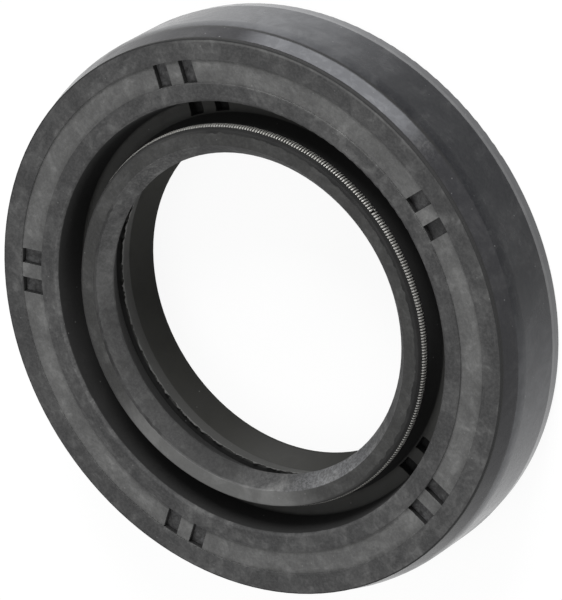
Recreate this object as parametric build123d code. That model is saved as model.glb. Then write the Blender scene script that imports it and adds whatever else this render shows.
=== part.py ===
from build123d import *
import math
import os

# Radial shaft seal: a rubber body moulded round a pressed steel case, and a close-coiled garter
# spring in the seat behind the sealing lip. All lengths are in millimetres and all angles in
# degrees. The seal lies on its air side face, with its axis on Z and its spring side, which
# faces the oil, upwards. Sections are drawn in the XZ plane, where X is the radius, and turned
# about Z.

# --- overall size ---
outer_diameter = 68.0
seal_width = 12.0
lip_bore = 38.5

# --- outside of the body ---
front_taper_length = 2.9
front_taper_drop = 0.85
front_taper_blend = 6.0
rim_step = 0.3
rim_edge_radius = 0.15
rear_taper_length = 2.15
rear_taper_drop = 0.3
rear_edge_radius = 0.5

# --- spring side face, from the outside inwards; a share is a part of the section's height, which
# is the distance from the lip bore to the outside ---
outer_rim_share = 0.166
recess_share = 0.188
recess_depth = 0.2
inner_rim_share = 0.144
inner_rim_edge_radius = 0.45

# --- groove between the face and the sealing lip ---
groove_depth = 4.6
groove_floor_share = 0.115
groove_wall_draft = 9.0
groove_corner_radius = 0.3

# --- sealing lip ---
lip_land = 0.3
lip_depth = 1.8
oil_side_angle = 38.0
toe_flare = 0.2
toe_edge_radius = 0.2
air_side_angle = 30.0
air_side_length = 3.5
flex_corner_radius = 0.8

# --- cavity, middle lip and dust lip on the air side of the sealing lip; a setback is how much
# further from the axis the rubber lies than the lip bore does ---
cavity_share = 0.52
cavity_width = 0.35
middle_lip_setback = 1.45
middle_lip_tip = 0.08
middle_lip_slope = 0.1
crease_setback = 2.05
crease_depth = 8.25
dust_lip_setback = 0.95
dust_lip_chamfer = 0.3

# --- garter spring ---
spring_share = 0.2
spring_coil_diameter = 1.5
spring_wire = 0.34
spring_valley = 0.13
spring_coil_sides = 6
spring_depth = 1.25
spring_clearance = 0.03
seat_front_angle = 55.0
seat_rear_angle = 75.0

# --- steel case ---
sheet = 1.0
bend_radius = 0.4
outer_cover = 1.5
rear_cover = 1.3
wall_cover = 0.7
flange_cover = 0.95

# --- pockets left by the pins that hold the steel case in the mould ---
pocket_pairs = 5
first_pair_angle = -90.0
pocket_width = 1.86
pocket_spacing = 3.57
face_pocket_depth = 0.95
groove_pocket_depth = 0.9

# --- sizes that follow from the ones above ---
outer_radius = outer_diameter / 2
lip_radius = lip_bore / 2
section_height = outer_radius - lip_radius
front = seal_width
rim_radius = outer_radius - front_taper_drop
recess_outer = rim_radius - outer_rim_share * section_height
recess_inner = recess_outer - recess_share * section_height
recess_floor = front - recess_depth
mouth_radius = recess_inner - inner_rim_share * section_height
groove_floor = front - groove_depth
groove_foot = mouth_radius - groove_depth * math.tan(math.radians(groove_wall_draft))
flex_foot = groove_foot - groove_floor_share * section_height

land_top = front - lip_depth
land_foot = land_top - lip_land
toe_inner = lip_radius + lip_depth * math.tan(math.radians(oil_side_angle))
air_side_foot = land_foot - air_side_length
air_side_radius = lip_radius + air_side_length * math.tan(math.radians(air_side_angle))
cavity_radius = air_side_radius + cavity_share * (flex_foot - air_side_radius)
cavity_floor = air_side_foot - cavity_width
middle_lip_radius = lip_radius + middle_lip_setback
middle_lip_height = cavity_floor - middle_lip_slope
crease_radius = lip_radius + crease_setback
dust_lip_radius = lip_radius + dust_lip_setback

case_top = front - face_pocket_depth
case_outer = outer_radius - outer_cover
case_wall = mouth_radius + wall_cover
flange_top = groove_floor - groove_pocket_depth
flange_inner = cavity_radius + flange_cover

spring_radius = lip_radius + spring_share * section_height
spring_height = front - spring_depth
seat_radius = spring_coil_diameter / 2 + spring_clearance


def on_seat(angle):
    """A point on the round seat of the spring, at an angle from straight outwards."""
    turn = math.radians(angle)
    radius = spring_radius + seat_radius * math.cos(turn)
    height = spring_height + seat_radius * math.sin(turn)
    return (radius, height)


def rounded(section, corners):
    """Rounds the corners of a section, each given as a fillet radius and the corner's place."""
    for radius, x, z in corners:
        corner = min(section.vertices(), key=lambda vertex: math.hypot(vertex.X - x, vertex.Y - z))
        section = fillet(corner, radius)
    return section


def turned(section):
    """Turns a section once about the seal's axis."""
    return revolve(Plane.XZ * section, Axis.Z, 360)


def body_section():
    """The rubber body's section, as if it were solid where the steel case lies."""
    seat_front = on_seat(seat_front_angle)
    seat_rear = on_seat(-seat_rear_angle)
    toe_outer = seat_front[0] - toe_flare
    taper_foot = front - rim_step - front_taper_length
    rear_land = outer_radius - rear_taper_drop
    outline = Polyline(
        seat_rear,
        (flex_foot, groove_floor),
        (groove_foot, groove_floor),
        (mouth_radius, front),
        (recess_inner, front),
        (recess_inner, recess_floor),
        (recess_outer, recess_floor),
        (recess_outer, front),
        (rim_radius, front),
        (rim_radius, front - rim_step),
        (outer_radius, taper_foot),
        (outer_radius, rear_taper_length),
        (rear_land, 0),
        (dust_lip_radius + dust_lip_chamfer, 0),
        (dust_lip_radius, dust_lip_chamfer),
        (crease_radius, front - crease_depth),
        (middle_lip_radius, middle_lip_height - middle_lip_tip),
        (middle_lip_radius, middle_lip_height),
        (cavity_radius, cavity_floor),
        (cavity_radius, air_side_foot),
        (air_side_radius, air_side_foot),
        (lip_radius, land_foot),
        (lip_radius, land_top),
        (toe_inner, front),
        (toe_outer, front),
        seat_front,
    )
    seat = ThreePointArc(seat_front, on_seat(180), seat_rear)
    return rounded(
        make_face(outline + seat),
        [
            (front_taper_blend, outer_radius, taper_foot),
            (rim_edge_radius, rim_radius, front),
            (rear_edge_radius, rear_land, 0),
            (inner_rim_edge_radius, mouth_radius, front),
            (groove_corner_radius, groove_foot, groove_floor),
            (flex_corner_radius, flex_foot, groove_floor),
            (toe_edge_radius, toe_outer, front),
        ],
    )


def case_section():
    """The steel case's section: outer leg, front web, inner leg and the flange behind the lip."""
    inner_leg_back = case_wall + sheet
    outer_leg_back = case_outer - sheet
    web_back = case_top - sheet
    flange_back = flange_top - sheet
    outline = Polyline(
        (case_outer, rear_cover),
        (case_outer, case_top),
        (case_wall, case_top),
        (case_wall, flange_top),
        (flange_inner, flange_top),
        (flange_inner, flange_back),
        (inner_leg_back, flange_back),
        (inner_leg_back, web_back),
        (outer_leg_back, web_back),
        (outer_leg_back, rear_cover),
        close=True,
    )
    outside_bend = bend_radius + sheet
    return rounded(
        make_face(outline),
        [
            (outside_bend, case_outer, case_top),
            (bend_radius, outer_leg_back, web_back),
            (outside_bend, case_wall, case_top),
            (bend_radius, inner_leg_back, web_back),
            (bend_radius, case_wall, flange_top),
            (outside_bend, inner_leg_back, flange_back),
        ],
    )


def ring(inner, outer, bottom, top):
    """A plain ring about the seal's axis."""
    section = Polyline((inner, bottom), (outer, bottom), (outer, top), (inner, top), close=True)
    return turned(make_face(section))


def pockets():
    """Pairs of parallel pockets, through the face recess and through the groove's floor, each as
    deep as the steel case lies."""
    face_band = ring(recess_inner, recess_outer, case_top, front)
    groove_band = ring(flex_foot, groove_foot, flange_top, groove_floor + groove_corner_radius)
    cuts = []
    for pair in range(pocket_pairs):
        turn = Rot(0, 0, first_pair_angle + pair * 360 / pocket_pairs)
        for side in (-1, 1):
            bar = Box(outer_radius, pocket_width, front)
            bar = turn * Pos(outer_radius / 2, side * pocket_spacing / 2, front / 2) * bar
            cuts += [face_band & bar, groove_band & bar]
    return cuts


def coiled_spring():
    """The garter spring as one closed skin. Each turn is a low double cone round the coil's
    centre line, and meets its neighbours in valleys that lie in planes through the seal's axis."""
    turns = round(2 * math.pi * spring_radius / spring_wire)
    half_turn = 180 / turns
    half_pitch = spring_radius * math.tan(math.radians(half_turn))
    cone = math.degrees(math.atan(spring_valley / half_pitch))
    crest_plane = Plane(origin=(spring_radius, 0, spring_height), x_dir=(1, 0, 0), z_dir=(0, 1, 0))
    crest = crest_plane * RegularPolygon(
        spring_coil_diameter / 2, spring_coil_sides, rotation=180 / spring_coil_sides
    )
    valley_plane = Plane.XZ.rotated((0, 0, half_turn))
    half = split(extrude(crest, amount=2 * half_pitch, taper=cone), valley_plane, keep=Keep.TOP)
    sides = [face for face in half.faces() if abs(face.normal_at().Y) < 0.99]
    one_turn = sides + [face.mirror(Plane.XZ) for face in sides]
    skin = []
    for turn in range(turns):
        place = Rot(0, 0, turn * 2 * half_turn)
        skin += [place * face for face in one_turn]
    return Solid(Shell(skin))


# The case is moulded into the body, so the body's room for it is the case's own form.
steel_case = turned(case_section())
rubber_body = turned(body_section()) - steel_case - pockets()
garter_spring = coiled_spring()

os.makedirs("parts", exist_ok=True)
export_step(rubber_body, "parts/rubber_body.step")
export_step(steel_case, "parts/steel_case.step")
export_step(garter_spring, "parts/garter_spring.step")
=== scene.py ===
import math

import bmesh
import bpy
from bpy.props import FloatProperty, FloatVectorProperty, IntProperty, PointerProperty
from mathutils import Euler, Matrix, Vector, noise


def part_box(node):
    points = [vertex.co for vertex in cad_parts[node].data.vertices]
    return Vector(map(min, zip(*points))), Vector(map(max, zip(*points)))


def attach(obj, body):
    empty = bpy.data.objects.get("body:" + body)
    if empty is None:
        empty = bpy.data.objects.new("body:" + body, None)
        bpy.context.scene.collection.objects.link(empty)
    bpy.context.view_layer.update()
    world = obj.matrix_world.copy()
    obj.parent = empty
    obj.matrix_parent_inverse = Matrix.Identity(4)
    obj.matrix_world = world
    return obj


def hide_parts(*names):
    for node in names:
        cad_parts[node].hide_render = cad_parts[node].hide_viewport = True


bl_info = {
    "name": "Radial Shaft Seal",
    "version": (1, 0, 0),
    "blender": (4, 5, 0),
    "location": "View3D > Sidebar > Shaft Seal",
    "description": "Wound garter spring, torn flash and rubber finishes for a radial shaft seal",
    "category": "Object",
}

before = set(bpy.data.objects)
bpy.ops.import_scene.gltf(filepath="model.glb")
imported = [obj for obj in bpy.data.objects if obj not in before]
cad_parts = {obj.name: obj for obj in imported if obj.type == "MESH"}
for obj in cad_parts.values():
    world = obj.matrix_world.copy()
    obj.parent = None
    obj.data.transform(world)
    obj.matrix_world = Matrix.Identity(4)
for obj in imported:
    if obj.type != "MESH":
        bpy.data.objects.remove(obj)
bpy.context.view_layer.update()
MM = 0.001

SPRING_LOW, SPRING_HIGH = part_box("garter_spring")
SPRING_OUTSIDE = SPRING_HIGH.x
SPRING_COIL = SPRING_HIGH.z - SPRING_LOW.z
FLOOR_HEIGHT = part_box("rubber_body")[0].z

# The nib that is screwed into the spring's other end: its turns, how much of the coil's inside it
# fills, and how thick its wire is next to the spring's.
NIB_TURNS = 8
NIB_FIT = 0.93
NIB_WIRE = 0.98

# Where the flash has torn off and how wide each tear is, in degrees round the seal's axis, and how
# much of it still stands there.
TEARS = (53.1, 58.1, 73.6, 75.6, 113.1, 118.1, 139.1, 148.1)
TEAR_WIDTH = 0.9
FLASH_LEFT = 0.01 * MM
# The waves of the flash's edge: how high each one is, and how fine.
FLASH_WAVES = ((0.7, 18), (1.0, 55), (0.5, 140))

# Where each surface lies on the seal's section, in millimetres: its inner and outer radius, its
# bottom and top height, how softly its mask ends, and how ragged the mask's edge is. A mask that
# is open on one side ends beyond the seal, at 17, 40, -1 or 13. The last two are what shows of the
# steel case at the foot of the pockets.
SURFACES = {
    "middle lip": (17.0, 23.0, 3.72, 5.98, 0.12, 0.0),
    "cavity": (20.95, 23.0, 5.9, 6.5, 0.08, 0.0),
    "air side": (17.0, 21.3, 6.3, 10.0, 0.05, 0.0),
    "bore": (17.0, 21.5, 0.5, 3.7, 0.2, 0.0),
    "lip": (17.0, 22.6, 9.95, 13.0, 0.05, 0.0),
    "filmed lip": (17.0, 22.2, 9.95, 13.0, 0.1, 0.0),
    "oil side": (17.0, 20.66, 9.95, 12.1, 0.05, 0.0),
    "oil side edge": (20.48, 20.7, 11.7, 12.05, 0.04, 0.3),
    "toe": (20.66, 22.4, 11.9, 13.0, 0.04, 0.1),
    "toe inner edge": (20.55, 20.74, 11.8, 12.1, 0.04, 0.0),
    "toe outer edge": (22.08, 23.0, 11.2, 13.0, 0.05, 0.8),
    "groove": (21.4, 25.9, 6.3, 13.0, 0.05, 0.0),
    "groove floor": (23.0, 25.5, 7.3, 7.75, 0.1, 0.0),
    "face": (25.45, 33.4, 11.7, 13.0, 0.06, 0.0),
    "recess": (27.95, 30.68, 11.7, 11.88, 0.05, 0.0),
    "recess inner edge": (27.8, 28.0, 11.75, 12.1, 0.06, 0.0),
    "face pockets": (27.8, 30.8, 10.0, 11.72, 0.03, 0.0),
    "rim edge": (32.7, 32.94, 11.9, 12.1, 0.06, 0.0),
    "rim step": (32.98, 33.4, 11.5, 12.1, 0.05, 0.1),
    "outside": (33.0, 40.0, -1.0, 11.66, 0.04, 0.0),
    "front taper": (33.0, 40.0, 9.45, 11.66, 0.15, 0.0),
    # The taper's highlighted band: painted highlight, partly rubbed film.
    "rubbed and highlighted front taper": (33.1, 40.0, 9.55, 11.5, 0.12, 0.2),
    "front taper foot": (33.0, 40.0, 9.25, 9.65, 0.12, 0.0),
    "outside wall": (33.0, 40.0, -1.0, 9.4, 0.1, 0.0),
    "rear taper": (33.0, 40.0, -1.0, 2.1, 0.06, 0.0),
    "rear taper head": (33.0, 40.0, 1.5, 2.1, 0.06, 0.0),
    "rear edge": (33.0, 33.75, -1.0, 0.5, 0.15, 0.0),
}
# Where the steel case is painted dark as shade: its flange at the foot of the groove's pockets, and
# its web deep in the face pockets.
CASE_FLANGE = (17.0, 26.5, -1.0, 8.0, 0.05, 0.0)
CASE_WEB = (17.0, 28.3, 10.8, 11.3, 0.6, 0.0)

# The colour of each surface of the body. A later one covers an earlier one where they overlap, and
# what none of them covers has the bore's colour. The groove's dark colour on the cavity, the groove
# and the face pockets is painted shade, and the groove floor's paler colour is painted light.
SURFACE_COLOURS = (
    ("middle lip", "middle_lip"),
    ("cavity", "groove"),
    ("air side", "air_side"),
    ("lip", "oil_side"),
    ("groove", "groove"),
    ("groove floor", "groove_floor"),
    ("toe", "toe"),
    ("face", "rim"),
    ("recess", "recess"),
    ("face pockets", "groove"),
    ("outside", "outside"),
    ("front taper", "front_taper"),
    ("rear taper", "rear_taper"),
    ("rear edge", "front_taper"),
)

# Places painted paler or darker in one sector of the seal: mostly painted highlights, painted
# reflections and painted shade where light falls on one side, with some rubbed film. For each: the
# surface, then the middle, half width and softness of its sector in degrees, how strong the mark
# is, how it is broken up, and its colour.
MARKS = (
    # Painted highlight along the rim's rounded edge, on the lamps' side.
    ("rim edge", (309, 27, 8), 0.16, "even", "bloom_and_highlight"),
    ("recess inner edge", (309, 28, 6), 0.12, "patchy", "bloom_and_highlight"),
    # Painted highlight on the front taper, broken up like rubbed film, which the taper partly has.
    ("rubbed and highlighted front taper", (304, 19, 4), 0.3, "mottled", "haze_and_reflection"),
    ("rubbed and highlighted front taper", (282, 2, 4), 0.08, "speckled", "bloom_and_highlight"),
    # Painted reflection: both ends of the outside wall are made paler, as grazing light shows them.
    ("outside wall", (327, 18, 20), 0.22, "even", "haze_and_reflection"),
    ("outside wall", (212, 24, 18), 0.24, "even", "haze_and_reflection"),
    # Painted shade: a dark line in the crease at the front taper's foot.
    ("front taper foot", (312, 38, 6), 0.9, "even", "groove"),
    # Painted highlight: a pale line along the rear taper's upper edge.
    ("rear taper head", (270, 70, 20), 0.12, "patchy", "bloom_and_highlight"),
    # Painted highlight on the toe's face and its inner edge, on the lamps' side.
    ("toe", (130, 34, 10), 0.31, "even", "bloom_and_highlight"),
    ("toe inner edge", (128, 22, 5), 0.3, "patchy", "bloom_and_highlight"),
    # Painted shade in the gap between the toe's outer edge and the spring, on the near side.
    ("toe outer edge", (265, 75, 8), 1.0, "even", "groove"),
    # Painted shade on the oil side cone, and a painted shadow line along its edge.
    ("oil side", (95, 48, 16), 0.65, "patchy", "groove"),
    ("oil side", (126, 12, 14), 0.5, "even", "groove"),
    ("oil side edge", (68, 44, 8), 0.9, "patchy", "groove"),
    ("oil side", (52, 10, 1), 0.08, "patchy", "bloom_and_highlight"),
    # Painted light: the oil side cone and the bore wall are made paler on the sides that face the
    # lamps.
    ("oil side", (180, 18, 8), 0.2, "speckled", "haze_and_reflection"),
    ("oil side", (0, 12, 10), 0.12, "speckled", "bloom_and_highlight"),
    ("bore", (141, 16, 14), 0.08, "even", "bloom_and_highlight"),
)

# How much of the pale film each surface shows, next to what every surface shows.
FILM = (("face", 1.0), ("filmed lip", 0.5), ("oil side", 1.3), ("outside", 0.17))
FILM_IN_RECESS = 0.4
FILM_EVERYWHERE = 0.06
DUST = 0.22

# The studio, in metres and watts: each lamp's name, place, width, height and power, then how far
# the floor reaches, the world's light, and the camera's place, turn in degrees and lens in
# millimetres.
LAMPS = (
    ("key softbox", (0.525, -0.44, 0.305), 0.35, 0.35, 6.6),
    ("low strip", (0.385, -0.46, 0.025), 0.4, 0.03, 2.6),
    ("top softbox", (-0.08, 0.12, 0.75), 0.5, 0.5, 1.4),
    ("side softbox", (-0.62, -0.2, 0.24), 0.35, 0.35, 2.4),
)
FLOOR_REACH = 3.0
WORLD_LIGHT = 0.3
CAMERA_PLACE = (0.007861, -0.414762, 0.526303)
CAMERA_TURN = (-22.5974, 32.0390, -127.0163)
CAMERA_LENS = 234.592
CAMERA_SENSOR = 24.0


# --- sizes and colours that a user would change ---


class SealSpringSizes(bpy.types.PropertyGroup):
    """Sizes of the wound garter spring."""

    wire: FloatProperty(
        name="Wire",
        description="Diameter of the spring wire",
        default=0.34 * MM,
        subtype="DISTANCE",
    )
    coil: FloatProperty(
        name="Coil",
        description="Outside diameter of the coil",
        default=SPRING_COIL,
        subtype="DISTANCE",
    )
    ring_radius: FloatProperty(
        name="Ring Radius",
        description="Distance from the seal's axis to the coil's centre line",
        default=SPRING_OUTSIDE - SPRING_COIL / 2,
        subtype="DISTANCE",
    )
    height: FloatProperty(
        name="Height",
        description="Height of the coil's centre line over the air side face",
        default=(SPRING_LOW.z + SPRING_HIGH.z) / 2,
        subtype="DISTANCE",
    )
    turns: IntProperty(
        name="Turns", description="Coil turns round the whole ring", default=410, min=24
    )
    joint_angle: FloatProperty(
        name="Joint Angle",
        description="Where the spring's two ends meet, round the seal's axis",
        default=math.radians(278.8),
        subtype="ANGLE",
    )
    joint_gap: FloatProperty(
        name="Joint Gap",
        description="Space left where the ends meet",
        default=0.12 * MM,
        subtype="DISTANCE",
    )


class SealFlashSizes(bpy.types.PropertyGroup):
    """Sizes of the torn flash on the middle lip."""

    radius: FloatProperty(
        name="Radius",
        description="Distance from the seal's axis to the torn edge's foot",
        default=20.74 * MM,
        subtype="DISTANCE",
    )
    foot: FloatProperty(
        name="Foot",
        description="Height of the torn edge's foot over the air side face",
        default=5.9 * MM,
        subtype="DISTANCE",
    )
    rise: FloatProperty(
        name="Rise",
        description="How far the flash stands over its foot on average",
        default=0.2 * MM,
        subtype="DISTANCE",
    )
    raggedness: FloatProperty(
        name="Raggedness",
        description="How much the torn edge rises and falls",
        default=0.23 * MM,
        subtype="DISTANCE",
    )
    thickness: FloatProperty(
        name="Thickness",
        description="Thickness of the flash",
        default=0.07 * MM,
        subtype="DISTANCE",
    )


def paint(name, description, shade):
    """A colour property."""
    return FloatVectorProperty(
        name=name, description=description, default=shade, subtype="COLOR", min=0, max=1
    )


class SealColours(bpy.types.PropertyGroup):
    """Colours of the seal's surfaces."""

    rim: paint("Face Rims", "Raised rims on the spring side face", (0.031, 0.031, 0.0315))
    recess: paint("Face Recess", "Shallow band between the rims", (0.073, 0.073, 0.0725))
    # The groove wall's dark colour is painted shade and the groove floor's paler colour is painted
    # light; both are the same rubber. The groove colour also paints shade in the marks.
    groove: paint("Groove Wall", "Rubber inside the groove", (0.01, 0.01, 0.01))
    groove_floor: paint("Groove Floor", "Bottom of the groove", (0.05, 0.05, 0.048))
    toe: paint("Lip Toe", "Trimmed front face of the sealing lip", (0.026, 0.026, 0.0255))
    oil_side: paint("Oil Side", "Cone in front of the sealing edge", (0.036, 0.036, 0.0365))
    # The air side's near black is painted shade, and it also paints shade on the steel case.
    air_side: paint("Air Side", "Cone behind the sealing edge", (0.002, 0.002, 0.002))
    # The middle lip's paler colour is painted light, where its band faces the lamps.
    middle_lip: paint("Middle Lip", "Rubbed band behind the torn edge", (0.056, 0.056, 0.054))
    bore: paint("Bore", "Wall between the middle lip and the dust lip", (0.018, 0.018, 0.016))
    outside: paint("Outside", "Ground rubber of the outside cylinder", (0.001, 0.0014, 0.003))
    front_taper: paint("Front Taper", "Taper behind the outer rim", (0.012, 0.012, 0.014))
    # The rear taper's paler colour is partly painted reflection and partly rubbed rubber.
    rear_taper: paint("Rear Taper", "Outside edge at the air side", (0.05, 0.051, 0.054))
    # The rubbed rubber's pale film, which is also the colour of the painted highlights and painted
    # light in the marks.
    bloom_and_highlight: paint("Bloom", "Pale film that rubbed rubber gathers", (0.3, 0.3, 0.295))
    # The colour of the painted highlights and painted reflections on the outside, the taper and the
    # oil side cone, partly a bluish film on the taper.
    haze_and_reflection: paint("Haze", "Bluish film on the outside and the taper", (0.275, 0.281, 0.298))
    case: paint("Steel Case", "Phosphated steel at the foot of the pockets", (0.085, 0.085, 0.086))
    spring: paint("Spring Wire", "Drawn spring wire", (0.4, 0.395, 0.375))
    spring_stain: paint("Spring Stain", "Oil stains on the spring wire", (0.24, 0.235, 0.21))
    floor: paint("Floor", "Table under the seal", (0.12, 0.12, 0.12))


# --- node helpers ---


def feed(tree, socket, value):
    """Links a socket to another one, or sets its constant."""
    if isinstance(value, bpy.types.NodeSocket):
        tree.links.new(value, socket)
    else:
        socket.default_value = value


def add_node(tree, kind, settings=None, **sockets):
    """Adds a node, with its settings and with its sockets by their names."""
    made = tree.nodes.new(kind)
    for name, value in (settings or {}).items():
        setattr(made, name, value)
    for name, value in sockets.items():
        feed(tree, made.inputs[name.replace("_", " ")], value)
    return made


def calc(tree, operation, first, second=0.0):
    """A Math node's value."""
    made = add_node(tree, "ShaderNodeMath", {"operation": operation})
    for socket, value in zip(made.inputs, (first, second)):
        feed(tree, socket, value)
    return made.outputs[0]


def fade(tree, value, start, end, low=0.0, high=1.0):
    """A smooth step of a value, from low at start to high at end."""
    return add_node(
        tree,
        "ShaderNodeMapRange",
        {"interpolation_type": "SMOOTHSTEP", "clamp": True},
        Value=value,
        From_Min=start,
        From_Max=end,
        To_Min=low,
        To_Max=high,
    ).outputs["Result"]


def colour(value, brightness=1.0):
    """A colour as the four numbers that a colour socket holds, made brighter or darker."""
    return (*(part * brightness for part in value), 1.0)


def blend(tree, mask, under, over):
    """The under colour where the mask is 0 and the over colour where it is 1."""
    made = add_node(tree, "ShaderNodeMix", {"data_type": "RGBA"})
    feed(tree, made.inputs[0], mask)
    feed(tree, made.inputs[6], under)
    feed(tree, made.inputs[7], over)
    return made.outputs[2]


def length_of(tree, first, second):
    """The distance between two points, from how far apart they are in two square directions."""
    squares = [calc(tree, "MULTIPLY", part, part) for part in (first, second)]
    return calc(tree, "SQRT", calc(tree, "ADD", *squares))


def object_place(tree):
    """Object coordinates split into X, Y and Z."""
    place = add_node(tree, "ShaderNodeTexCoord").outputs["Object"]
    return place, add_node(tree, "ShaderNodeSeparateXYZ", Vector=place).outputs


def axis_distance(tree, parts):
    """Distance from the seal's axis."""
    return length_of(tree, parts["X"], parts["Y"])


def new_group(name, inputs, outputs):
    """A shader node group with float inputs, given with their defaults, and float outputs."""
    tree = bpy.data.node_groups.new(name, "ShaderNodeTree")
    for title, default in inputs:
        socket = tree.interface.new_socket(
            name=title, in_out="INPUT", socket_type="NodeSocketFloat"
        )
        socket.default_value = default
    for title in outputs:
        tree.interface.new_socket(name=title, in_out="OUTPUT", socket_type="NodeSocketFloat")
    given = tree.nodes.new("NodeGroupInput").outputs
    taken = tree.nodes.new("NodeGroupOutput").inputs
    return tree, given, taken


def use_group(tree, name, output, **values):
    """Places a node group in a material and returns one of its outputs."""
    made = add_node(tree, "ShaderNodeGroup", {"node_tree": bpy.data.node_groups[name]}, **values)
    return made.outputs[output]


# --- shared effects ---


def band_group():
    """A soft mask of the surfaces between two radii and two heights, with a ragged edge."""
    tree, given, taken = new_group(
        "Seal Band",
        [
            ("Inner", 0.0),
            ("Outer", 1.0),
            ("Bottom", -1.0),
            ("Top", 1.0),
            ("Softness", 0.00005),
            ("Raggedness", 0.0),
        ],
        ["Mask"],
    )
    place, parts = object_place(tree)
    ragged = add_node(
        tree, "ShaderNodeTexNoise", Vector=place, Scale=1100.0, Detail=4.0, Roughness=0.6
    )
    shift = calc(tree, "SUBTRACT", ragged.outputs[0], 0.5)
    shift = calc(tree, "MULTIPLY", shift, given["Raggedness"])
    radius = calc(tree, "ADD", axis_distance(tree, parts), shift)
    height = calc(tree, "ADD", parts["Z"], shift)
    below = calc(tree, "MULTIPLY", given["Softness"], -1.0)
    mask = 1.0
    for value, start, end in (
        (radius, given["Inner"], given["Outer"]),
        (height, given["Bottom"], given["Top"]),
    ):
        after = fade(tree, calc(tree, "SUBTRACT", value, start), below, given["Softness"])
        before = fade(tree, calc(tree, "SUBTRACT", end, value), below, given["Softness"])
        mask = calc(tree, "MULTIPLY", mask, calc(tree, "MULTIPLY", after, before))
    feed(tree, taken["Mask"], mask)


def sector_group():
    """A soft mask of the surfaces round one angle about the seal's axis."""
    tree, given, taken = new_group(
        "Seal Sector", [("Angle", 0.0), ("Half Width", 20.0), ("Softness", 10.0)], ["Mask"]
    )
    _, parts = object_place(tree)
    turn = calc(tree, "RADIANS", given["Angle"])
    along = calc(
        tree,
        "ADD",
        calc(tree, "MULTIPLY", parts["X"], calc(tree, "COSINE", turn)),
        calc(tree, "MULTIPLY", parts["Y"], calc(tree, "SINE", turn)),
    )
    across = calc(tree, "DIVIDE", along, axis_distance(tree, parts))
    away = calc(tree, "DEGREES", calc(tree, "ARCCOSINE", across))
    inside = calc(tree, "SUBTRACT", given["Half Width"], away)
    outer = calc(tree, "MULTIPLY", given["Softness"], -1.0)
    feed(tree, taken["Mask"], fade(tree, inside, outer, given["Softness"]))


def mottling_group():
    """Cloudy patches."""
    tree, given, taken = new_group(
        "Mottling", [("Scale", 400.0), ("Low", 0.4), ("High", 0.6), ("Seed", 0.0)], ["Mask"]
    )
    place, _ = object_place(tree)
    shifted = add_node(tree, "ShaderNodeVectorMath", {"operation": "ADD"})
    feed(tree, shifted.inputs[0], place)
    offset = add_node(tree, "ShaderNodeCombineXYZ", X=given["Seed"], Y=given["Seed"], Z=0.0)
    feed(tree, shifted.inputs[1], offset.outputs[0])
    cloud = add_node(
        tree,
        "ShaderNodeTexNoise",
        Vector=shifted.outputs[0],
        Scale=given["Scale"],
        Detail=5.0,
        Roughness=0.6,
        Distortion=0.7,
    )
    feed(tree, taken["Mask"], fade(tree, cloud.outputs[0], given["Low"], given["High"]))


def rub_group():
    """Marks that run round the seal or across its section, from how the two scales differ."""
    tree, given, taken = new_group(
        "Rub Marks",
        [("Around", 40.0), ("Across", 2000.0), ("Low", 0.5), ("High", 0.7), ("Seed", 0.0)],
        ["Mask"],
    )
    _, parts = object_place(tree)
    radius = axis_distance(tree, parts)
    run = calc(tree, "SUBTRACT", radius, parts["Z"])
    place = add_node(
        tree,
        "ShaderNodeCombineXYZ",
        X=calc(tree, "MULTIPLY", calc(tree, "DIVIDE", parts["X"], radius), given["Around"]),
        Y=calc(tree, "MULTIPLY", calc(tree, "DIVIDE", parts["Y"], radius), given["Around"]),
        Z=calc(tree, "ADD", calc(tree, "MULTIPLY", run, given["Across"]), given["Seed"]),
    )
    marks = add_node(
        tree, "ShaderNodeTexNoise", Vector=place.outputs[0], Scale=1.0, Detail=4.0, Roughness=0.65
    )
    feed(tree, taken["Mask"], fade(tree, marks.outputs[0], given["Low"], given["High"]))


def speck_group():
    """Sparse dots of dust."""
    tree, given, taken = new_group("Specks", [("Scale", 500.0), ("Size", 0.06)], ["Mask"])
    place, _ = object_place(tree)
    dots = add_node(tree, "ShaderNodeTexVoronoi", Vector=place, Scale=given["Scale"])
    size = calc(tree, "MULTIPLY", given["Size"], 0.5)
    feed(tree, taken["Mask"], fade(tree, dots.outputs["Distance"], given["Size"], size))


def grain_group():
    """Height of the fine grain that a moulded or drawn surface has."""
    tree, given, taken = new_group("Surface Grain", [("Scale", 6000.0), ("Pits", 0.3)], ["Height"])
    place, _ = object_place(tree)
    fine = add_node(
        tree, "ShaderNodeTexNoise", Vector=place, Scale=given["Scale"], Detail=3.0, Roughness=0.7
    )
    pits = add_node(
        tree,
        "ShaderNodeTexVoronoi",
        Vector=place,
        Scale=calc(tree, "MULTIPLY", given["Scale"], 0.35),
    )
    holes = fade(tree, pits.outputs["Distance"], 0.0, 0.25, -1.0, 0.0)
    holes = calc(tree, "MULTIPLY", holes, given["Pits"])
    feed(tree, taken["Height"], calc(tree, "ADD", fine.outputs[0], holes))


def shared_effects():
    """Builds the shared effects that aren't there yet."""
    for name, build in (
        ("Seal Band", band_group),
        ("Seal Sector", sector_group),
        ("Mottling", mottling_group),
        ("Rub Marks", rub_group),
        ("Specks", speck_group),
        ("Surface Grain", grain_group),
    ):
        if name not in bpy.data.node_groups:
            build()


# --- materials ---


def new_material(name):
    """A material with its Principled BSDF, and the shared effects that it can use."""
    shared_effects()
    made = bpy.data.materials.new(name)
    made.use_nodes = True
    tree = made.node_tree
    return made, tree, tree.nodes["Principled BSDF"]


def bump(tree, shader, height, strength, distance):
    """Lets a height raise the surface."""
    made = add_node(tree, "ShaderNodeBump", Height=height, Strength=strength, Distance=distance)
    feed(tree, shader.inputs["Normal"], made.outputs["Normal"])


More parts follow.
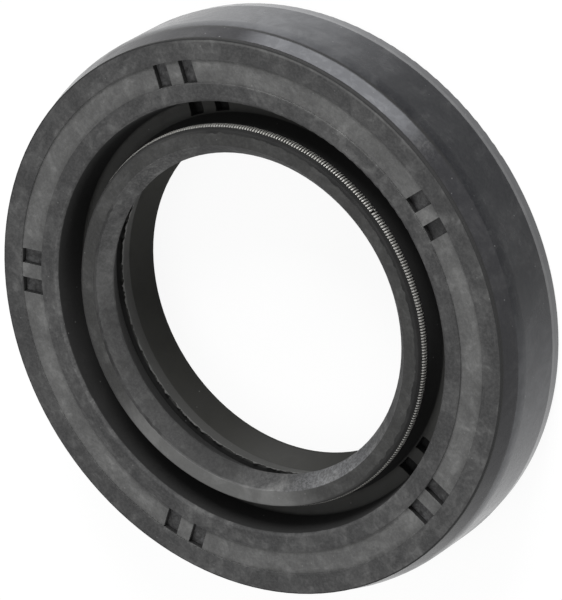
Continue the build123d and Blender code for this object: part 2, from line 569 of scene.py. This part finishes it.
def mask_of(tree, surface):
    """The mask of a surface, from where it lies on the section in millimetres."""
    inner, outer, bottom, top, softness, ragged = surface
    return use_group(
        tree,
        "Seal Band",
        "Mask",
        Inner=inner * MM,
        Outer=outer * MM,
        Bottom=bottom * MM,
        Top=top * MM,
        Softness=softness * MM,
        Raggedness=ragged * MM,
    )


def rubber_material(colours):
    """Moulded black nitrile rubber: a finish for each part of the section, some of them painted
    shade and painted light, with rub marks, pale film, mottling, dust and grain, and painted
    highlights, reflections and shade on one side of the seal."""
    made, tree, shader = new_material("nitrile rubber")
    masks = {name: mask_of(tree, surface) for name, surface in SURFACES.items()}
    base = colour(colours.bore)
    for name, shade in SURFACE_COLOURS:
        base = blend(tree, masks[name], base, colour(getattr(colours, shade)))

    clouds = use_group(tree, "Mottling", "Mask", Scale=260.0, Low=0.38, High=0.68)
    patches = use_group(tree, "Mottling", "Mask", Scale=800.0, Low=0.4, High=0.7, Seed=2.0)
    fine = use_group(tree, "Mottling", "Mask", Scale=3000.0, Low=0.35, High=0.7, Seed=5.0)
    stains = use_group(tree, "Mottling", "Mask", Scale=480.0, Low=0.5, High=0.75, Seed=9.0)
    rubs = use_group(
        tree, "Rub Marks", "Mask", Around=10.0, Across=2600.0, Low=0.5, High=0.8, Seed=7.0
    )
    dust = use_group(tree, "Specks", "Mask", Scale=620.0, Size=0.07)

    film = calc(tree, "MULTIPLY", calc(tree, "MULTIPLY", patches, clouds), 0.15)
    for mark, amount in ((clouds, 0.08), (fine, 0.07), (rubs, 0.06)):
        film = calc(tree, "ADD", film, calc(tree, "MULTIPLY", mark, amount))
    shown = 0.0
    for name, amount in FILM:
        shown = calc(tree, "MAXIMUM", shown, calc(tree, "MULTIPLY", masks[name], amount))
    in_recess = calc(tree, "MULTIPLY", masks["recess"], FILM_IN_RECESS)
    shown = calc(tree, "ADD", calc(tree, "ADD", shown, in_recess), FILM_EVERYWHERE)
    film = calc(tree, "MULTIPLY", film, shown)
    film = calc(tree, "ADD", film, calc(tree, "MULTIPLY", dust, DUST))
    base = blend(tree, film, base, colour(colours.bloom_and_highlight))
    base = blend(tree, calc(tree, "MULTIPLY", stains, 0.2), base, colour(colours.groove))

    patterns = {
        "patchy": fade(tree, clouds, 0.0, 1.0, 0.5, 1.0),
        "even": fade(tree, clouds, 0.0, 1.0, 0.8, 1.05),
        "speckled": fade(tree, fine, 0.0, 1.0, 0.3, 1.2),
        "mottled": fade(tree, patches, 0.0, 1.0, 0.85, 1.08),
    }
    for name, (angle, half_width, softness), amount, pattern, shade in MARKS:
        sector = use_group(
            tree,
            "Seal Sector",
            "Mask",
            Angle=angle,
            Half_Width=half_width,
            Softness=softness,
        )
        strength = calc(tree, "MULTIPLY", calc(tree, "MULTIPLY", masks[name], sector), amount)
        strength = calc(tree, "MULTIPLY", strength, patterns[pattern])
        base = blend(tree, strength, base, colour(getattr(colours, shade)))
    # Painted shade in the crease at the rim's outer step.
    crease_shade = calc(tree, "MULTIPLY", masks["rim step"], 0.9)
    base = blend(tree, crease_shade, base, colour(colours.groove))
    feed(tree, shader.inputs["Base Color"], base)

    rough = fade(tree, clouds, 0.0, 1.0, 0.8, 0.88)
    for name, low, high in (("outside", 0.19, 0.27), ("air side", 0.97, 1.0)):
        covered = add_node(tree, "ShaderNodeMix", {"data_type": "FLOAT"})
        feed(tree, covered.inputs[0], masks[name])
        feed(tree, covered.inputs[2], rough)
        feed(tree, covered.inputs[3], fade(tree, clouds, 0.0, 1.0, low, high))
        rough = covered.outputs[0]
    feed(tree, shader.inputs["Roughness"], rough)
    shader.inputs["Specular IOR Level"].default_value = 0.25
    grain = use_group(tree, "Surface Grain", "Height", Scale=4200.0, Pits=0.4)
    swell = calc(tree, "MULTIPLY", patches, 0.8)
    bump(tree, shader, calc(tree, "ADD", grain, swell), 0.5, 0.014 * MM)
    return made


def flash_material(colours):
    """Torn rubber flash, paler at its broken edge."""
    made, tree, shader = new_material("torn rubber")
    torn = use_group(tree, "Mottling", "Mask", Scale=1500.0, Low=0.4, High=0.65)
    broken_edge = colour(colours.middle_lip, brightness=1.7)
    # The flash's base is the middle lip's colour, which is painted light.
    base = blend(tree, torn, colour(colours.middle_lip), broken_edge)
    feed(tree, shader.inputs["Base Color"], base)
    feed(tree, shader.inputs["Roughness"], fade(tree, torn, 0.0, 1.0, 0.55, 0.75))
    bump(tree, shader, use_group(tree, "Surface Grain", "Height", Scale=5000.0), 0.5, 0.03 * MM)
    return made


def case_material(colours):
    """Phosphated sheet steel, with painted shade deep in the pockets."""
    made, tree, shader = new_material("phosphated steel")
    crystals = use_group(tree, "Mottling", "Mask", Scale=2600.0, Low=0.35, High=0.65)
    stains = use_group(tree, "Mottling", "Mask", Scale=500.0, Low=0.4, High=0.6, Seed=3.0)
    dark, light = (colour(colours.case, brightness=amount) for amount in (0.7, 1.4))
    base = blend(tree, crystals, dark, light)
    base = blend(tree, calc(tree, "MULTIPLY", stains, 0.5), base, colour(colours.groove))
    # Painted shade: the flange and the web take the air side's near black.
    base = blend(tree, mask_of(tree, CASE_FLANGE), base, colour(colours.air_side))
    shaded = calc(tree, "MULTIPLY", mask_of(tree, CASE_WEB), 0.7)
    base = blend(tree, shaded, base, colour(colours.air_side))
    feed(tree, shader.inputs["Base Color"], base)
    feed(tree, shader.inputs["Roughness"], fade(tree, crystals, 0.0, 1.0, 0.5, 0.7))
    shader.inputs["Metallic"].default_value = 0.15
    shader.inputs["Specular IOR Level"].default_value = 0.15
    bump(tree, shader, use_group(tree, "Surface Grain", "Height", Scale=9000.0), 0.4, 0.01 * MM)
    return made


def spring_material(colours, sizes):
    """Drawn spring wire, bright with faint oil stains, and oily dirt with painted shade between the
    turns.
    """
    made, tree, shader = new_material("drawn spring wire")
    stains = use_group(tree, "Mottling", "Mask", Scale=300.0, Low=0.4, High=0.75, Seed=11.0)
    drawn = use_group(tree, "Rub Marks", "Mask", Around=500.0, Across=3000.0, Low=0.4, High=0.7)
    stained = calc(tree, "MULTIPLY", stains, 0.4)
    base = blend(tree, stained, colour(colours.spring), colour(colours.spring_stain))
    _, parts = object_place(tree)
    across = calc(tree, "SUBTRACT", axis_distance(tree, parts), sizes.ring_radius)
    along = calc(tree, "SUBTRACT", parts["Z"], sizes.height)
    from_centre = length_of(tree, across, along)
    crest = sizes.coil / 2
    # Darker towards the valleys between the turns: oily dirt and painted shade.
    dirt_and_shade = fade(tree, from_centre, crest - 0.1 * MM, crest - 0.02 * MM, 0.8, 0.0)
    base = blend(tree, dirt_and_shade, base, colour(colours.groove))
    feed(tree, shader.inputs["Base Color"], base)
    feed(tree, shader.inputs["Roughness"], fade(tree, drawn, 0.0, 1.0, 0.5, 0.65))
    shader.inputs["Metallic"].default_value = 0.5
    bump(tree, shader, use_group(tree, "Surface Grain", "Height", Scale=12000.0), 0.2, 0.005 * MM)
    return made


def floor_material(colours):
    """Pale table, white to the camera and in reflections, which keeps the seal's shadow."""
    made, tree, shader = new_material("pale table")
    cloud = use_group(tree, "Mottling", "Mask", Scale=30.0, Low=0.2, High=0.8)
    base = blend(tree, cloud, colour(colours.floor, brightness=0.985), colour(colours.floor))
    feed(tree, shader.inputs["Base Color"], base)
    shader.inputs["Roughness"].default_value = 0.9
    shader.inputs["Specular IOR Level"].default_value = 0.1
    rays = add_node(tree, "ShaderNodeLightPath").outputs
    seen = calc(tree, "MAXIMUM", rays["Is Camera Ray"], rays["Is Glossy Ray"])
    seen = calc(tree, "MAXIMUM", seen, rays["Is Transmission Ray"])
    shader.inputs["Emission Color"].default_value = (1.0, 1.0, 1.0, 1.0)
    feed(tree, shader.inputs["Emission Strength"], calc(tree, "MULTIPLY", seen, 0.9))
    return made


# --- pieces ---


def piece_from(bm, name, material, smooth=True):
    """Makes a mesh object from a bmesh and frees the bmesh."""
    mesh = bpy.data.meshes.new(name)
    bm.to_mesh(mesh)
    bm.free()
    for polygon in mesh.polygons:
        polygon.use_smooth = smooth
    mesh.materials.append(material)
    made = bpy.data.objects.new(name, mesh)
    bpy.context.scene.collection.objects.link(made)
    return made


def wind(ring_radius, height, coil_radius, wire_radius, start, pitch, turns, steps=12, sides=5):
    """Winds a coil of wire along the ring: a circle is extruded through one turn, the turn is
    repeated round the seal's axis, and the wire's two ends are closed."""
    bm = bmesh.new()
    made = bmesh.ops.create_circle(bm, cap_ends=False, segments=sides, radius=wire_radius)
    section = made["verts"]
    lean = math.atan(pitch * ring_radius / (2 * math.pi * coil_radius))
    bmesh.ops.rotate(bm, verts=section, cent=(0, 0, 0), matrix=Matrix.Rotation(-lean, 3, "X"))
    bmesh.ops.translate(bm, verts=section, vec=(ring_radius + coil_radius, 0, height))
    edges = list({edge for vert in section for edge in vert.link_edges})
    for step in range(steps):
        grown = bmesh.ops.extrude_edge_only(bm, edges=edges)["geom"]
        verts = [item for item in grown if isinstance(item, bmesh.types.BMVert)]
        edges = [
            item
            for item in grown
            if isinstance(item, bmesh.types.BMEdge) and all(v in verts for v in item.verts)
        ]
        along = step * pitch / steps
        centre = Vector((ring_radius * math.cos(along), ring_radius * math.sin(along), height))
        tangent = Vector((-math.sin(along), math.cos(along), 0))
        bmesh.ops.rotate(
            bm, verts=verts, cent=centre, matrix=Matrix.Rotation(-2 * math.pi / steps, 3, tangent)
        )
        bmesh.ops.rotate(
            bm, verts=verts, cent=(0, 0, 0), matrix=Matrix.Rotation(pitch / steps, 3, "Z")
        )
    bmesh.ops.spin(
        bm,
        geom=bm.verts[:] + bm.edges[:] + bm.faces[:],
        cent=(0, 0, 0),
        axis=(0, 0, 1),
        angle=pitch * (turns - 1),
        steps=turns - 1,
        use_duplicate=True,
    )
    bmesh.ops.remove_doubles(bm, verts=bm.verts[:], dist=wire_radius * 0.05)
    bmesh.ops.rotate(bm, verts=bm.verts[:], cent=(0, 0, 0), matrix=Matrix.Rotation(start, 3, "Z"))
    bmesh.ops.holes_fill(bm, edges=[edge for edge in bm.edges if edge.is_boundary], sides=sides)
    bmesh.ops.recalc_face_normals(bm, faces=bm.faces[:])
    return bm


class SEAL_OT_garter_spring(bpy.types.Operator):
    """Winds the garter spring from one wire, with its nib screwed into its other end"""

    bl_idname = "shaft_seal.garter_spring"
    bl_label = "Garter Spring"

    def execute(self, context):
        sizes = context.scene.seal_spring
        material = spring_material(context.scene.seal_colours, sizes)
        wire = sizes.wire / 2
        coil = sizes.coil / 2 - wire
        gap = sizes.joint_gap / sizes.ring_radius
        pitch = (2 * math.pi - gap) / sizes.turns
        start = sizes.joint_angle + gap / 2
        bm = wind(sizes.ring_radius, sizes.height, coil, wire, start, pitch, sizes.turns)
        spring = piece_from(bm, "wound_spring", material)
        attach(spring, "root")
        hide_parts("garter_spring")

        inside = (coil - 2 * wire) * NIB_FIT
        start = sizes.joint_angle - pitch * NIB_TURNS / 2
        bm = wind(
            sizes.ring_radius, sizes.height, inside, wire * NIB_WIRE, start, pitch, NIB_TURNS
        )
        nib = piece_from(bm, "spring_nib", material)
        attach(nib, "root")
        return {"FINISHED"}


class SEAL_OT_torn_flash(bpy.types.Operator):
    """Adds the torn flash that stands on the middle lip's edge"""

    bl_idname = "shaft_seal.torn_flash"
    bl_label = "Torn Flash"

    def execute(self, context):
        sizes = context.scene.seal_flash
        material = flash_material(context.scene.seal_colours)
        bm = bmesh.new()
        made = bmesh.ops.create_circle(bm, cap_ends=False, segments=720, radius=sizes.radius)
        bmesh.ops.translate(bm, verts=made["verts"], vec=(0, 0, sizes.foot))
        grown = bmesh.ops.extrude_edge_only(bm, edges=bm.edges[:])["geom"]
        top = [item for item in grown if isinstance(item, bmesh.types.BMVert)]
        bmesh.ops.translate(bm, verts=top, vec=(0, 0, sizes.rise))
        for vert in top:
            turn = Vector((vert.co.x, vert.co.y, 0)).normalized()
            angle = math.degrees(math.atan2(turn.y, turn.x))
            tear = max(math.exp(-(((angle - place) / TEAR_WIDTH) ** 2)) for place in TEARS)
            wave = sum(size * noise.noise(turn * count) for size, count in FLASH_WAVES)
            # The edge lies lower along a few long stretches, and leans in and out a little.
            drop = max(0.0, noise.noise(turn * 9 + Vector((3, 5, 0))) - 0.25) * 2.0
            vert.co.z += sizes.raggedness * (wave - drop) - sizes.rise * tear
            vert.co.z = max(vert.co.z, sizes.foot + FLASH_LEFT)
            lean = 0.5 * sizes.raggedness * noise.noise(turn * 30 + Vector((0, 0, 4)))
            vert.co += turn * lean
        bmesh.ops.recalc_face_normals(bm, faces=bm.faces[:])
        bmesh.ops.solidify(bm, geom=bm.faces[:], thickness=sizes.thickness)
        flash = piece_from(bm, "lip_flash", material, smooth=False)
        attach(flash, "root")
        return {"FINISHED"}


class SEAL_OT_body_finish(bpy.types.Operator):
    """Gives the rubber body and the steel case their finishes"""

    bl_idname = "shaft_seal.body_finish"
    bl_label = "Body Finish"

    def execute(self, context):
        colours = context.scene.seal_colours
        for node, material in (
            ("rubber_body", rubber_material(colours)),
            ("steel_case", case_material(colours)),
        ):
            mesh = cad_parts[node].data
            mesh.materials.clear()
            mesh.materials.append(material)
        return {"FINISHED"}


# --- stage ---


def area_lamp(name, place, width, height, power):
    """A soft lamp that faces the seal."""
    lamp = bpy.data.lights.new(name, "AREA")
    lamp.shape = "RECTANGLE"
    lamp.size = width
    lamp.size_y = height
    lamp.energy = power
    made = bpy.data.objects.new(name, lamp)
    made.location = place
    made.rotation_euler = (-Vector(place)).to_track_quat("-Z", "Y").to_euler()
    bpy.context.scene.collection.objects.link(made)
    return made


class SEAL_OT_stage(bpy.types.Operator):
    """Sets the floor, the lamps, the world and the camera"""

    bl_idname = "shaft_seal.stage"
    bl_label = "Stage"

    def execute(self, context):
        scene = context.scene
        scene.view_settings.view_transform = "Standard"
        bm = bmesh.new()
        bmesh.ops.create_grid(bm, x_segments=1, y_segments=1, size=FLOOR_REACH)
        bmesh.ops.translate(bm, verts=bm.verts[:], vec=(0, 0, FLOOR_HEIGHT))
        floor = piece_from(bm, "floor", floor_material(scene.seal_colours), smooth=False)

        world = bpy.data.worlds.new("soft studio")
        scene.world = world
        world.use_nodes = True
        tree = world.node_tree
        backdrop = tree.nodes["Background"]
        backdrop.inputs["Color"].default_value = (1.0, 1.0, 1.0, 1.0)
        rays = add_node(tree, "ShaderNodeLightPath").outputs
        seen = calc(tree, "MAXIMUM", rays["Is Camera Ray"], rays["Is Glossy Ray"])
        feed(tree, backdrop.inputs["Strength"], calc(tree, "MAXIMUM", seen, WORLD_LIGHT))

        for name, place, width, height, power in LAMPS:
            area_lamp(name, place, width, height, power)

        lens = bpy.data.cameras.new("camera")
        lens.sensor_fit = "VERTICAL"
        lens.sensor_height = CAMERA_SENSOR
        lens.lens = CAMERA_LENS
        lens.clip_start = 0.01
        camera = bpy.data.objects.new("camera", lens)
        camera.location = CAMERA_PLACE
        camera.rotation_euler = Euler([math.radians(angle) for angle in CAMERA_TURN])
        scene.collection.objects.link(camera)
        scene.camera = camera
        return {"FINISHED"}


class SEAL_PT_sidebar(bpy.types.Panel):
    """Lists the seal's sizes, colours and pieces"""

    bl_idname = "SEAL_PT_sidebar"
    bl_label = "Shaft Seal"
    bl_space_type = "VIEW_3D"
    bl_region_type = "UI"
    bl_category = "Shaft Seal"

    def draw(self, context):
        for title, group in (
            ("Garter Spring", context.scene.seal_spring),
            ("Torn Flash", context.scene.seal_flash),
            ("Colours", context.scene.seal_colours),
        ):
            box = self.layout.box()
            box.label(text=title)
            for name in group.bl_rna.properties.keys():
                if name not in ("rna_type", "name"):
                    box.prop(group, name)
        for piece in STEPS:
            self.layout.operator(piece)


STEPS = (
    "shaft_seal.body_finish",
    "shaft_seal.garter_spring",
    "shaft_seal.torn_flash",
    "shaft_seal.stage",
)
CLASSES = (
    SealSpringSizes,
    SealFlashSizes,
    SealColours,
    SEAL_OT_body_finish,
    SEAL_OT_garter_spring,
    SEAL_OT_torn_flash,
    SEAL_OT_stage,
    SEAL_PT_sidebar,
)


def register():
    for cls in CLASSES:
        bpy.utils.register_class(cls)
    bpy.types.Scene.seal_spring = PointerProperty(type=SealSpringSizes)
    bpy.types.Scene.seal_flash = PointerProperty(type=SealFlashSizes)
    bpy.types.Scene.seal_colours = PointerProperty(type=SealColours)


def unregister():
    del bpy.types.Scene.seal_spring
    del bpy.types.Scene.seal_flash
    del bpy.types.Scene.seal_colours
    for cls in reversed(CLASSES):
        bpy.utils.unregister_class(cls)


def main():
    register()
    bpy.ops.shaft_seal.body_finish()
    bpy.ops.shaft_seal.garter_spring()
    bpy.ops.shaft_seal.torn_flash()
    bpy.ops.shaft_seal.stage()


if __name__ == "__main__":
    main()
